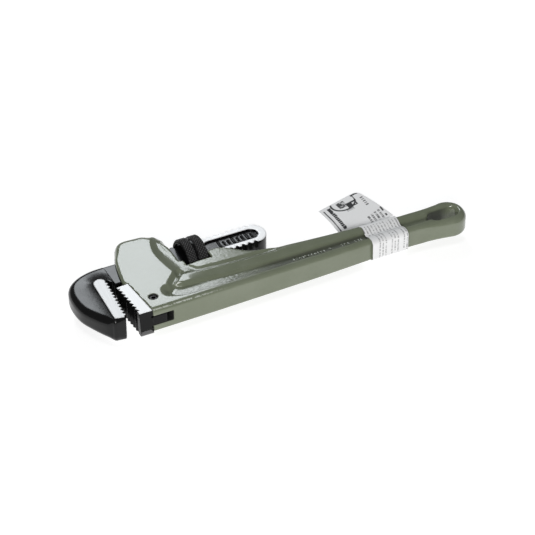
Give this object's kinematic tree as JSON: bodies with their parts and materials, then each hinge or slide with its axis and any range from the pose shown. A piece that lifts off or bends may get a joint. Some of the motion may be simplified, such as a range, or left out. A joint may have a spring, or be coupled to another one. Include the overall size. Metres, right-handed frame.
{
  "type": "pipe wrench",
  "caption": "Straight pipe wrench: cast handle with head, sliding toothed hook jaw with threaded shank, knurled nut and pinned toothed heel jaw.",
  "frame": {"origin": "on the ground plane that the nut touches, under the middle of the wrench's bounding box, with the wrench's own plane level", "axes": "+X along the handle from the jaws to the hanging slot, +Y from the mouth and heel side to the shank side, +Z through the thickness"},
  "size_m": [0.2458, 0.0718, 0.026],
  "materials": {
    "green_paint": "glossy sage-green paint over cast metal",
    "black_steel": "glossy black finish with ground bright faces",
    "black_nut": "black knurled steel",
    "spring_steel": "spring steel",
    "label_paper": "white printed paper"
  },
  "bodies": {
    "handle": {"handle_frame": "green_paint", "heel_jaw": "black_steel", "heel_jaw_pin": "spring_steel", "coil_spring": "spring_steel", "spring_rivet": "spring_steel", "paper_label": "label_paper"},
    "leaf_spring": {"flat_spring": "spring_steel"},
    "hook_jaw": {"hook_jaw": "black_steel"},
    "nut": {"adjusting_nut": "black_nut"}
  },
  "joints": [
    {"name": "jaw_rock", "type": "hinge", "parent": "handle", "child": "leaf_spring", "pos_m": [-0.05307, 0.00941, 0.013], "axis": [0, 0, 1], "range_deg": [-2, 2], "stiffness_Nm_per_rad": 5},
    {"name": "jaw_slide", "type": "slide", "parent": "leaf_spring", "child": "hook_jaw", "axis": [-1, 0, 0], "range_m": [-0.002, 0.033]},
    {"name": "nut_spin", "type": "hinge", "parent": "leaf_spring", "child": "nut", "pos_m": [-0.04247, 0.00941, 0.013], "axis": [1, 0, 0], "range_deg": [-185, 2975]}
  ],
  "couplings": [
    {"joint": "nut_spin", "follows": "jaw_slide", "rad_per_m": 1570.8}
  ]
}
